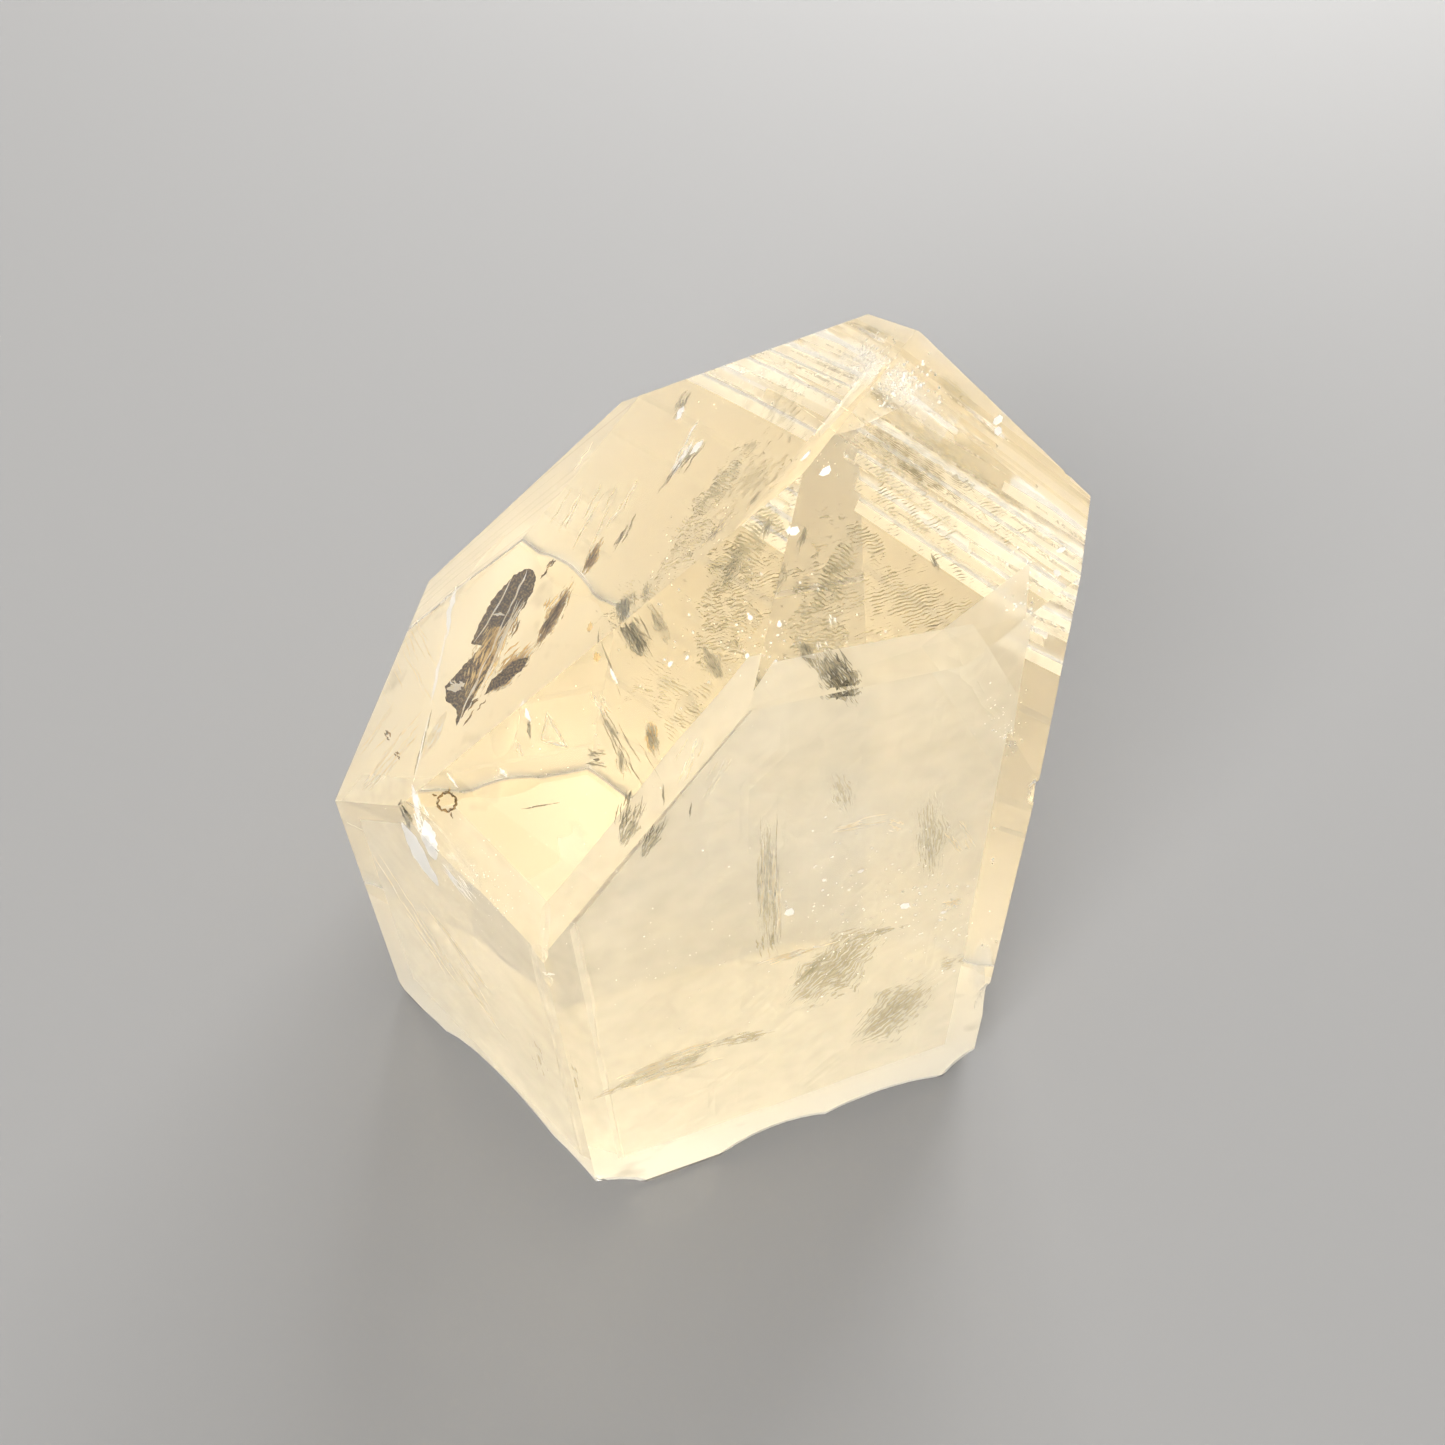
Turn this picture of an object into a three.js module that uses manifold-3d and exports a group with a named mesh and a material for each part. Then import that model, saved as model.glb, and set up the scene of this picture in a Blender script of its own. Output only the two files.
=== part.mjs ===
// A polished quartz point that stands on its cut base: a hexagonal prism under a one-sided rhombohedral tip.
// The stone grew as one piece, so it is one solid. Each flat face is ground off a rough block, as a cutter
// does it, and then the growth ledges of the two natural back faces and the chipped edges are cut in.
// Millimetres, +Z up along the crystal's long axis, front towards -Y.
import * as THREE from "three";
import { mergeVertices } from "three/addons/utils/BufferGeometryUtils.js";
import Module from "manifold-3d";

const wasm = await Module();
wasm.setup();

// ---- Driving dimensions -------------------------------------------------------------------------

const BLOCK = 120; // side of the rough block that the point is ground from
const WHEEL = 200; // side of the grinding block, wider than any face
const BALL_DETAIL = 9; // how finely a chip's shell is divided
const WELD = 1e-4; // corners closer together than this are one

// Each face of the point: which way it looks (azimuth from +X, anticlockwise), how far its outward normal
// rises above level, and its distance from the crystal's axis point on the base.
const PRISM = {
  front: { azimuth: -68.3, rise: 2.8, reach: 17.5 },
  left_front: { azimuth: -134.5, rise: -0.6, reach: 18.9 },
  left_back: { azimuth: 170, rise: -1, reach: 20.9 },
  back_left: { azimuth: 106, rise: 0.5, reach: 20.3 },
  back_right: { azimuth: 48.5, rise: 0.8, reach: 20.3 },
  right: { azimuth: -3.5, rise: 1.6, reach: 22.35 },
};
const TIP = {
  front_slope: { azimuth: -64.8, rise: 27.7, reach: 37.2 },
  left_front_slope: { azimuth: -129.8, rise: 33.7, reach: 36.2 },
  left_back_slope: { azimuth: 166.6, rise: 39.8, reach: 33.6 },
  left_step: { azimuth: 167.5, rise: 38.2, reach: 33.2 },
  left_shoulder: { azimuth: 135.1, rise: 28.8, reach: 33.5 },
  back_left_slope: { azimuth: 107.5, rise: 41.7, reach: 40.95 },
  back_right_slope: { azimuth: 44.5, rise: 32.9, reach: 40.5 },
  tip_bevel: { azimuth: 57.1, rise: 43.7, reach: 47.9 },
  right_bevel: { azimuth: -57.3, rise: 8, reach: 23.5 },
};
const FACES = { ...PRISM, ...TIP, base: { azimuth: 0, rise: -90, reach: 0 } };

const BASE_CHAMFER = 0.4; // width of the ground bevel round the base

// Growth ledges: fine level steps across the back faces, which were left as they grew.
const LEDGE_PROUD = 0.2; // how far the cutting wedge stands out of the face
const LEDGE_SPAN = 30; // half of a full ledge, wider than half of any face
const LEDGE_WANDER = 0.6; // how far a ledge strays from even spacing, in spacings
const SHORT_SHARE = 0.25; // share of the ledges that die out from each side
const SHORT_END = { nearest: -6, stray: 10 }; // where such a ledge ends, along the face from its middle
const VARIES = { least: 0.6, most: 1.4 }; // how the ledges' depths and heights vary, in shares of the usual
const LEDGE_SETS = [
  { face: "back_right", count: 9, from: 33.5, to: 45, depth: 0.16, height: 0.5, seed: 5 },
  { face: "back_right", count: 5, from: 6, to: 31, depth: 0.08, height: 0.6, seed: 23 },
  { face: "back_right_slope", count: 8, from: 46, to: 59, depth: 0.12, height: 0.5, seed: 8 },
  { face: "back_left", count: 7, from: 3, to: 34, depth: 0.08, height: 0.6, seed: 11 },
];

// Two shallow upright flutes on the back faces: how high their middle lies, where along the face, how long.
const FLUTES = [
  { face: "back_left", level: 7.5, along: -3, radius: 2.4, depth: 0.3, stretch: 3.2 },
  { face: "back_right", level: 13, along: 4, radius: 2.4, depth: 0.22, stretch: 2.2 },
];

// ---- Small tools --------------------------------------------------------------------------------

const radians = THREE.MathUtils.degToRad;

// The outward normal of a face.
function normalOf({ azimuth, rise }) {
  const level = Math.cos(radians(rise));
  return new THREE.Vector3(
    level * Math.cos(radians(azimuth)),
    level * Math.sin(radians(azimuth)),
    Math.sin(radians(rise)),
  );
}

// The point where three faces meet.
function corner(first, second, third) {
  const [a, b, c] = [first, second, third].map((name) => normalOf(FACES[name]));
  const [reachA, reachB, reachC] = [first, second, third].map((name) => FACES[name].reach);
  const volume = a.dot(b.clone().cross(c));
  return b
    .clone()
    .cross(c)
    .multiplyScalar(reachA)
    .add(c.clone().cross(a).multiplyScalar(reachB))
    .add(a.clone().cross(b).multiplyScalar(reachC))
    .divideScalar(volume);
}

// A repeatable run of numbers from 0 to 1.
function shuffler(seed) {
  let state = seed;
  return () => {
    state = (state * 16807) % 2147483647;
    return state / 2147483647;
  };
}

// A closed three.js geometry as a solid that can be joined and cut.
function solidOf(geometry) {
  const bare = geometry.clone();
  bare.deleteAttribute("normal");
  bare.deleteAttribute("uv");
  const merged = mergeVertices(bare, WELD);
  return new wasm.Manifold(
    new wasm.Mesh({
      numProp: 3,
      vertProperties: merged.attributes.position.array,
      triVerts: new Uint32Array(merged.index.array),
    }),
  );
}

// ---- Grinding, chipping and growth --------------------------------------------------------------

// Grinds one flat face: takes off everything further out than the face's plane.
function grind(stone, face) {
  const normal = normalOf(face);
  const wheel = new THREE.BoxGeometry(WHEEL, WHEEL, WHEEL);
  wheel.applyQuaternion(new THREE.Quaternion().setFromUnitVectors(new THREE.Vector3(0, 0, 1), normal));
  wheel.translate(...normal.multiplyScalar(face.reach + WHEEL / 2));
  return stone.subtract(solidOf(wheel));
}

// The narrow bevel under a prism face, at 45 degrees round the base.
function chamferUnder(face) {
  const rise = radians(face.rise);
  const reachAtTop = face.reach / Math.cos(rise) - Math.tan(rise) * BASE_CHAMFER;
  return { azimuth: face.azimuth, rise: -45, reach: (reachAtTop - BASE_CHAMFER) / Math.SQRT2 };
}

// A shell-shaped chip: a ball of the given radius bites `depth` into the stone at a point, from outside.
// On a long edge it may be drawn out along the edge.
function chip(stone, { at, from, radius, depth, along = new THREE.Vector3(0, 0, 1), stretch = 1 }) {
  const outward = from.clone().normalize();
  const ball = new THREE.IcosahedronGeometry(radius, BALL_DETAIL);
  ball.scale(1, 1, stretch);
  ball.applyQuaternion(
    new THREE.Quaternion().setFromUnitVectors(new THREE.Vector3(0, 0, 1), along.clone().normalize()),
  );
  ball.translate(...at.clone().addScaledVector(outward, radius - depth));
  return stone.subtract(solidOf(ball));
}

// The directions along and up a face, and the place on it at a given height and distance from its middle.
function onFace(face, level, distance) {
  const normal = normalOf(face);
  const along = new THREE.Vector3(0, 0, 1).cross(normal).normalize();
  const up = normal.clone().cross(along);
  const place = normal.clone().multiplyScalar(face.reach);
  place.addScaledVector(up, (level - place.z) / up.z).addScaledVector(along, distance);
  return { normal, along, up, place };
}

// One level ledge on a face, from u0 to u1 along it: a sharp riser below and a long slope above.
function ledge(stone, face, { level, u0, u1, depth, height }) {
  const { normal, along, up, place } = onFace(face, level, u1);
  const slope = (depth + LEDGE_PROUD) / depth;
  const section = new THREE.Shape([
    new THREE.Vector2(-depth, 0),
    new THREE.Vector2(LEDGE_PROUD, 0),
    new THREE.Vector2(LEDGE_PROUD, height * slope),
  ]);
  const wedge = new THREE.ExtrudeGeometry(section, { depth: u1 - u0, bevelEnabled: false });
  const turned = new THREE.Matrix4().makeBasis(normal, up, along.clone().negate());
  wedge.applyMatrix4(turned.setPosition(place));
  return stone.subtract(solidOf(wedge));
}

// All the ledges of one natural face. Some die out part of the way across.
function growLedges(stone, { face, count, from, to, depth, height, seed }) {
  const next = shuffler(seed);
  const varied = (usual) => usual * (VARIES.least + (VARIES.most - VARIES.least) * next());
  const shortEnd = () => SHORT_END.nearest + SHORT_END.stray * next();
  let grown = stone;
  for (let i = 0; i < count; i += 1) {
    const share = (i + LEDGE_WANDER * next()) / count;
    const dies = next();
    grown = ledge(grown, FACES[face], {
      level: from + (to - from) * share,
      u0: dies < SHORT_SHARE ? shortEnd() : -LEDGE_SPAN,
      u1: dies > 1 - SHORT_SHARE ? shortEnd() : LEDGE_SPAN,
      depth: varied(depth),
      height: varied(height),
    });
  }
  return grown;
}

// A shallow upright flute in a natural face.
function flute(stone, { face, level, along, radius, depth, stretch }) {
  const { normal, up, place } = onFace(FACES[face], level, along);
  return chip(stone, { at: place, from: normal, radius, depth, along: up, stretch });
}

// ---- The point ----------------------------------------------------------------------------------

// Every named flat face, ground one after another off the rough block.
function groundPoint() {
  const block = new THREE.BoxGeometry(BLOCK, BLOCK, BLOCK).translate(0, 0, BLOCK / 2);
  let stone = solidOf(block);
  for (const face of [...Object.values(PRISM), ...Object.values(TIP)]) stone = grind(stone, face);
  for (const face of Object.values(PRISM)) stone = grind(stone, chamferUnder(face));
  return stone;
}

// Chips out of the base's rim, out of the edges and off two corners.
function chipEdges(stone) {
  const frontLeft = corner("base", "front", "left_front");
  const frontRight = corner("base", "front", "right");
  const leftCorner = corner("base", "left_front", "left_back");
  const backLeft = corner("base", "left_back", "back_left");
  const backCorner = corner("base", "back_left", "back_right");
  const rightBack = corner("base", "back_right", "right");
  const shoulder = corner("left_front", "left_step", "left_front_slope");
  const elbow = corner("front", "left_front", "left_front_slope");
  const rightElbow = corner("front", "right_bevel", "right");
  const brow = new THREE.Vector3(-1, -1, 0.7);
  const rightSide = new THREE.Vector3(0.85, -0.55, 0);
  const browChip = { from: brow, along: elbow.clone().sub(shoulder), stretch: 2.8 };
  const between = (a, b, share) => a.clone().lerp(b, share);
  const out = (face, drop) => normalOf(FACES[face]).setZ(-drop);

  const chips = [
    { at: frontLeft, from: new THREE.Vector3(-0.1, -1, -0.5), radius: 10, depth: 2.1 },
    { at: frontRight, from: new THREE.Vector3(1, -0.7, -0.3), radius: 8, depth: 1.6 },
    { at: leftCorner, from: new THREE.Vector3(-1, -0.2, -0.6), radius: 7, depth: 0.4 },
    { at: between(frontLeft, frontRight, 0.47), from: out("front", 0.5), radius: 11, depth: 1.25 },
    { at: between(frontLeft, frontRight, 0.56), from: out("front", 0.9), radius: 7, depth: 0.7 },
    { at: between(frontLeft, frontRight, 0.73), from: out("front", 0.5), radius: 22, depth: 1 },
    { at: between(leftCorner, frontLeft, 0.3), from: out("left_front", 0.7), radius: 16, depth: 0.9 },
    { at: between(leftCorner, frontLeft, 0.58), from: out("left_front", 0.4), radius: 17, depth: 2.4 },
    { at: between(leftCorner, frontLeft, 0.88), from: out("left_front", 0.4), radius: 13, depth: 1.9 },
    { at: between(leftCorner, backLeft, 0.6), from: out("left_back", 0.8), radius: 13, depth: 0.9 },
    { at: between(backLeft, backCorner, 0.35), from: out("back_left", 0.7), radius: 16, depth: 1 },
    { at: between(backLeft, backCorner, 0.7), from: out("back_left", 0.9), radius: 9, depth: 0.8 },
    { at: between(backCorner, rightBack, 0.4), from: out("back_right", 0.7), radius: 18, depth: 1.1 },
    { at: between(backCorner, rightBack, 0.8), from: out("back_right", 0.8), radius: 8, depth: 0.7 },
    { at: between(rightBack, frontRight, 0.5), from: out("right", 0.7), radius: 14, depth: 0.8 },
    { ...browChip, at: between(shoulder, elbow, 0.24), radius: 1.7, depth: 0.5 },
    { ...browChip, at: between(shoulder, elbow, 0.42), radius: 1.1, depth: 0.25 },
    { at: between(shoulder, elbow, 0.98), from: new THREE.Vector3(-0.6, -1, 0.2), radius: 1.6, depth: 0.28 },
    { at: between(elbow, frontLeft, 0.08), from: new THREE.Vector3(-0.5, -1, 0), radius: 1.2, depth: 0.22 },
    { at: between(rightElbow, frontRight, 0.03), from: rightSide, radius: 2.2, depth: 0.4 },
    { at: between(rightElbow, frontRight, 0.7), from: rightSide, radius: 5, depth: 0.6 },
  ];
  return chips.reduce(chip, stone);
}

function buildPoint() {
  let stone = groundPoint();
  for (const set of LEDGE_SETS) stone = growLedges(stone, set);
  for (const each of FLUTES) stone = flute(stone, each);
  return chipEdges(stone);
}

// ---- The scene graph ----------------------------------------------------------------------------

// The finished solid as a mesh, with the middle of its footprint at the origin.
function quartzMesh(stone) {
  const { vertProperties, triVerts } = stone.getMesh();
  const geometry = new THREE.BufferGeometry();
  geometry.setAttribute("position", new THREE.BufferAttribute(vertProperties, 3));
  geometry.setIndex(new THREE.BufferAttribute(triVerts, 1));
  geometry.computeBoundingBox();
  const middle = geometry.boundingBox.getCenter(new THREE.Vector3());
  geometry.translate(-middle.x, -middle.y, -geometry.boundingBox.min.z);
  geometry.computeVertexNormals();
  const quartz = new THREE.MeshStandardMaterial({ color: 0xeddab7, roughness: 0.08, metalness: 0 });
  const mesh = new THREE.Mesh(geometry, quartz);
  mesh.name = "quartz_point";
  return mesh;
}

const group = new THREE.Group();
group.add(quartzMesh(buildPoint()));

export default group;
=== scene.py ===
# %% [markdown]
# # Phantom quartz point
# A clear crystal that grew as one piece and was then ground and polished on its show faces. Its looks come
# from inside: milky phantoms, healed cracks, an iron-stained fracture. They hang in the stone, so they are
# modelled as thin sheets, plates and flakes within the glass, and never painted on the outside.

import math
import random
from typing import NamedTuple

import bmesh
import bpy
from mathutils import Matrix, Vector, noise
from mathutils.bvhtree import BVHTree


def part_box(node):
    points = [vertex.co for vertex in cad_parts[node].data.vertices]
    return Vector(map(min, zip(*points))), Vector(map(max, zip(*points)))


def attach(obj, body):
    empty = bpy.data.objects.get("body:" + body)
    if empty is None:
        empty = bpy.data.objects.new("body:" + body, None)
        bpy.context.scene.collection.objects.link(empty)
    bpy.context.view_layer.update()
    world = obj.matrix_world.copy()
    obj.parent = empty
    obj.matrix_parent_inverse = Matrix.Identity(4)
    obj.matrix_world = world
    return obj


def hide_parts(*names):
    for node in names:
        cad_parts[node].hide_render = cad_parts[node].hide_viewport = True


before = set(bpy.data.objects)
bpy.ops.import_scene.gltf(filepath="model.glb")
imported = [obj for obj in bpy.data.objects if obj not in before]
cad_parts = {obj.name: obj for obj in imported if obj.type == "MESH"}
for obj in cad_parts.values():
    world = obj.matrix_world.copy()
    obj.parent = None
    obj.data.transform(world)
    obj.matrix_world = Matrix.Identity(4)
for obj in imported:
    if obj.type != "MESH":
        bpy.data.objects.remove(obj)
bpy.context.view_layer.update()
MM = 0.001
noise.seed_set(1)  # without a seed of its own, the vector noise differs from run to run
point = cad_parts["quartz_point"]
POINT_LOW, POINT_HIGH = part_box("quartz_point")
print("the point is", round((POINT_HIGH.z - POINT_LOW.z) / MM, 1), "mm tall")

# %% [markdown]
# The camera stands above the front and looks down at the stone. It comes first, because the flaws are placed
# by where they are seen through the polished faces.

# %% Camera
PICTURE = 1445  # side of the square picture, in pixels
FOCAL = 1649.1  # focal length, in pixels of that picture
EYE = Vector((2.2, -62.83, 117.0)) * MM
PITCH = math.radians(54.465)  # below level
ROLL = math.radians(1.49)

camera_data = bpy.data.cameras.new("Camera")
camera_data.sensor_width = 36
camera_data.lens = FOCAL / PICTURE * camera_data.sensor_width
camera_data.clip_start = 1 * MM
camera = bpy.data.objects.new("Camera", camera_data)
LOOK = Matrix.Rotation(math.pi / 2 - PITCH, 4, "X") @ Matrix.Rotation(ROLL, 4, "Z")
camera.matrix_world = Matrix.Translation(EYE) @ LOOK
bpy.context.collection.objects.link(camera)
bpy.context.scene.camera = camera

# %% [markdown]
# ## Materials
# Node groups hold the patterns: clouds that thin out to nothing, and the short wavy dashes of etched surfaces.
# Each material gives them values of its own.


# %% Node helpers
def new_group(name, inputs, outputs):
    """A shader node group with float inputs and outputs."""
    group = bpy.data.node_groups.new(name, "ShaderNodeTree")
    for label, value in inputs.items():
        socket = group.interface.new_socket(label, in_out="INPUT", socket_type="NodeSocketFloat")
        socket.default_value = value
    for label in outputs:
        group.interface.new_socket(label, in_out="OUTPUT", socket_type="NodeSocketFloat")
    return group, group.nodes.new("NodeGroupInput"), group.nodes.new("NodeGroupOutput")


def add_node(tree, kind, links=(), values=(), **settings):
    """A node of a tree with its settings, its input values and its links, given as (input, socket) pairs."""
    made = tree.nodes.new(kind)
    for key, value in settings.items():
        setattr(made, key, value)
    for key, value in values:
        made.inputs[key].default_value = value
    for key, socket in links:
        tree.links.new(socket, made.inputs[key])
    return made


def product(tree, first, second):
    """The product of two sockets."""
    return add_node(tree, "ShaderNodeMath", [(0, first), (1, second)], operation="MULTIPLY").outputs[0]


def plain_material(name, color, roughness):
    """A Principled material of one colour and one roughness."""
    material = bpy.data.materials.new(name)
    material.use_nodes = True
    shader = material.node_tree.nodes["Principled BSDF"]
    shader.inputs["Base Color"].default_value = (*color, 1)
    shader.inputs["Roughness"].default_value = roughness
    return material, material.node_tree, shader


# %% Pattern groups
def cloud_group():
    """Clouds that wisp out to nothing. Threshold and softness set how much of them shows, cover how dense."""
    inputs = {"Scale": 150, "Threshold": 0.5, "Softness": 0.2, "Cover": 0.5}
    group, given, out = new_group("Clouds", inputs, ["Cover"])
    place = add_node(group, "ShaderNodeTexCoord").outputs["Object"]
    puff = add_node(
        group,
        "ShaderNodeTexNoise",
        [("Vector", place), ("Scale", given.outputs["Scale"])],
        [("Detail", 3), ("Roughness", 0.6)],
    )
    top = add_node(
        group,
        "ShaderNodeMath",
        [(0, given.outputs["Threshold"]), (1, given.outputs["Softness"])],
        operation="ADD",
    )
    shown = add_node(
        group,
        "ShaderNodeMapRange",
        [
            ("Value", puff.outputs[0]),
            ("From Min", given.outputs["Threshold"]),
            ("From Max", top.outputs[0]),
            ("To Max", given.outputs["Cover"]),
        ],
    )
    group.links.new(shown.outputs[0], out.inputs["Cover"])
    return group


def dash_group():
    """The wavy level ripples of an etched surface, in patches. Their height runs from 0 to about 2."""
    group, given, out = new_group("Dashes", {"Spacing": 1700, "Patches": 1500}, ["Height"])
    place = add_node(group, "ShaderNodeTexCoord").outputs["Object"]
    wave = add_node(
        group,
        "ShaderNodeTexWave",
        [("Vector", place), ("Scale", given.outputs["Spacing"])],
        [("Distortion", 9), ("Detail", 3), ("Detail Scale", 0.6), ("Detail Roughness", 0.6)],
        bands_direction="Z",
    )
    patch = add_node(
        group,
        "ShaderNodeTexNoise",
        [("Vector", place), ("Scale", given.outputs["Patches"])],
        [("Detail", 2)],
    )
    height = add_node(
        group,
        "ShaderNodeMath",
        [(0, patch.outputs[0]), (2, wave.outputs["Fac"])],
        [(1, 2)],
        operation="MULTIPLY_ADD",
    )
    group.links.new(height.outputs[0], out.inputs["Height"])
    return group


CLOUDS = cloud_group()
DASHES = dash_group()

# %% [markdown]
# Clear quartz is plain glass to light: it bends it by 1.544 and takes out a little blue, which makes thick
# parts pale champagne. The show faces are polished. The back faces keep the crystal's own rippled skin, and
# the sawn base is ground. Each face knows how coarse it is, and one material reads that.

# %% Quartz
QUARTZ_IOR = 1.544
POLISHED, COARSEST = 0.015, 0.8  # roughness of the show faces and of the coarsest
CHAMPAGNE, TINT_DENSITY = (0.93, 0.72, 0.22, 1), 10  # what the quartz lets through, and how strongly
quartz, tree, glass = plain_material("Quartz", (1, 1, 1), POLISHED)
glass.inputs["IOR"].default_value = QUARTZ_IOR
glass.inputs["Transmission Weight"].default_value = 1
coarse = add_node(tree, "ShaderNodeAttribute", attribute_name="coarse")
rough = add_node(
    tree,
    "ShaderNodeMapRange",
    [("Value", coarse.outputs["Fac"])],
    [("To Min", POLISHED), ("To Max", COARSEST)],
)
tree.links.new(rough.outputs[0], glass.inputs["Roughness"])
absorb = add_node(tree, "ShaderNodeVolumeAbsorption", (), [("Color", CHAMPAGNE), ("Density", TINT_DENSITY)])
tree.links.new(absorb.outputs[0], tree.nodes["Material Output"].inputs["Volume"])

# %% [markdown]
# What hangs in the stone is dull and has no gloss of its own. Milk and frost are pale clouds. The healed and
# stained cracks are brushed: fine strokes run along each flaw, read from its own grain attribute. The thin
# films of air are smoother and brighter, and their white is in part a painted highlight that stands in for
# glints. Milk, the painted ledge highlights and veins also let light through from behind.


# %% Cloudy materials
def clouded(name, color, scale, threshold, softness, cover):
    """A dull material that shows only as clouds, where the piece's own fade lets it."""
    material, tree, shader = plain_material(name, color, 1)
    shader.inputs["Specular IOR Level"].default_value = 0
    clouds = add_node(tree, "ShaderNodeGroup", node_tree=CLOUDS)
    for place, value in enumerate([scale, threshold, softness, cover]):
        clouds.inputs[place].default_value = value
    fade = add_node(tree, "ShaderNodeAttribute", attribute_name="fade")
    shown = product(tree, clouds.outputs["Cover"], fade.outputs["Fac"])
    tree.links.new(shown, shader.inputs["Alpha"])
    return material


milk = clouded("Milk", (1.0, 0.95, 0.82), 140, -0.3, 1.1, 0.68)
frost = clouded("Frost", (0.98, 0.96, 0.9), 120, 0.05, 0.35, 1.0)
# bright strips along the ledges at the back: a painted highlight
ledge_highlight = clouded("Painted ledge highlight", (1.0, 0.98, 0.93), 1300, 0.4, 0.15, 1.0)
haze = clouded("Haze", (1.0, 0.98, 0.93), 90, 0.25, 0.4, 0.23)

# %% Etched material, dark as painted shade
RIPPLE_CUT = 2.3  # the sum of a ripple's height and the piece's own fade above which it shows
RIPPLE_EDGE = 0.25  # how soft a ripple's edge is
RIPPLE_COVER = 0.55
# The ripples' dark colour is painted shade: darkness seen through clear windows of the back skin.
etched_shade, tree, shader = plain_material("Etched skin and painted shade", (0.36, 0.32, 0.2), 1)
shader.inputs["Specular IOR Level"].default_value = 0
ripples = add_node(tree, "ShaderNodeGroup", node_tree=DASHES)
fade = add_node(tree, "ShaderNodeAttribute", attribute_name="fade")
lifted = add_node(
    tree,
    "ShaderNodeMath",
    [(0, ripples.outputs["Height"]), (1, fade.outputs["Fac"])],
    operation="ADD",
)
shown = add_node(
    tree,
    "ShaderNodeMapRange",
    [("Value", lifted.outputs[0])],
    [("From Min", RIPPLE_CUT), ("From Max", RIPPLE_CUT + RIPPLE_EDGE), ("To Max", RIPPLE_COVER)],
)
tree.links.new(shown.outputs[0], shader.inputs["Alpha"])


# %% Brushed materials
STROKE_DARK, STROKE_LIGHT = 0.46, 0.62  # where in the strokes' noise the two colours lie
STROKE_EDGE = 0.3  # how soft a stroke's edge is
BACK_LIGHT = 0.5  # how much light pale veils let through


def brushed(name, dark, light, threshold, cover, along=1.2, across=7.0):
    """A dull material of fine strokes along the flaw, from dark to light, which ends ragged."""
    material, tree, shader = plain_material(name, dark, 1)
    shader.inputs["Specular IOR Level"].default_value = 0
    grain = add_node(tree, "ShaderNodeAttribute", attribute_name="grain")
    drawn = add_node(
        tree,
        "ShaderNodeVectorMath",
        [(0, grain.outputs["Vector"])],
        [(1, (along, across, 1))],
        operation="MULTIPLY",
    )
    strokes = add_node(tree, "ShaderNodeTexNoise", [("Vector", drawn.outputs[0])], [("Scale", 1), ("Detail", 3)])
    ramp = add_node(tree, "ShaderNodeValToRGB", [("Fac", strokes.outputs[0])])
    ramp.color_ramp.elements[0].position = STROKE_DARK
    ramp.color_ramp.elements[0].color = (*dark, 1)
    ramp.color_ramp.elements[1].position = STROKE_LIGHT
    ramp.color_ramp.elements[1].color = (*light, 1)
    tree.links.new(ramp.outputs["Color"], shader.inputs["Base Color"])
    fade = add_node(tree, "ShaderNodeAttribute", attribute_name="fade")
    lifted = add_node(
        tree,
        "ShaderNodeMath",
        [(0, strokes.outputs[0]), (2, fade.outputs["Fac"])],
        [(1, 2)],
        operation="MULTIPLY_ADD",
    )
    shown = add_node(
        tree,
        "ShaderNodeMapRange",
        [("Value", lifted.outputs[0])],
        [("From Min", threshold), ("From Max", threshold + STROKE_EDGE), ("To Max", cover)],
    )
    tree.links.new(shown.outputs[0], shader.inputs["Alpha"])
    return material


iron = brushed("Iron", (0.045, 0.024, 0.005), (0.28, 0.18, 0.07), 1.3, 0.98, along=6, across=8)
rust = brushed("Rust", (0.08, 0.045, 0.012), (0.4, 0.25, 0.1), 1.55, 0.95)
smoke = brushed("Smoke", (0.08, 0.068, 0.04), (0.42, 0.37, 0.25), 1.65, 0.85)
olive = brushed("Olive streak", (0.34, 0.29, 0.15), (0.62, 0.56, 0.38), 1.7, 0.6)
amber = brushed("Amber stain", (0.55, 0.32, 0.08), (0.85, 0.62, 0.28), 1.5, 0.85)
vein = brushed("Cream vein", (0.95, 0.84, 0.6), (1, 0.98, 0.9), 1.4, 1.0)
# White, in part a painted highlight: it stands in for glints on the left ridge, the shoulder and the sparks.
film_and_glint, _, _ = plain_material("Air film and painted glint", (1, 0.98, 0.93), 0.35)
for material in (milk, ledge_highlight, vein):
    shader = material.node_tree.nodes["Principled BSDF"]
    shader.inputs["Transmission Weight"].default_value = BACK_LIGHT

# %% [markdown]
# ## The stone
# The frame's own solid is used, merged into clean flat faces. A cutter never leaves a knife edge, so the long
# edges get a bevel less than a tenth of a millimetre wide, which catches the light.

# %% Stone
WELD = 0.002 * MM
FLAT_WITHIN = math.radians(0.4)
EDGE_BEVEL = 0.07 * MM
LONG_EDGE = 4 * MM
SHARP_EDGE = math.radians(14)
BIG_FACE = 30 * MM**2
GROWN, SAWN = 0.6, 1.0  # coarseness of the faces left as they grew, and of the sawn base
BACKWARD = Vector((0.2, 1, 0)).normalized()
FACES_BACK, FACES_DOWN = 0.6, -0.2  # how far a normal turns to the back, and down


def coarseness(normal):
    """Polished faces 0, the grown faces at the back and the sawn base coarser."""
    if normal.z < FACES_DOWN:
        return SAWN
    return GROWN if normal.dot(BACKWARD) > FACES_BACK else 0


def new_piece(name, bm, material):
    """A finished piece of the stone from a bmesh, riding on the root body."""
    mesh = bpy.data.meshes.new(name)
    bm.to_mesh(mesh)
    bm.free()
    mesh.materials.append(material)
    piece = bpy.data.objects.new(name, mesh)
    bpy.context.collection.objects.link(piece)
    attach(piece, "root")
    print(name, len(mesh.polygons), "faces")
    return piece


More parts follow.
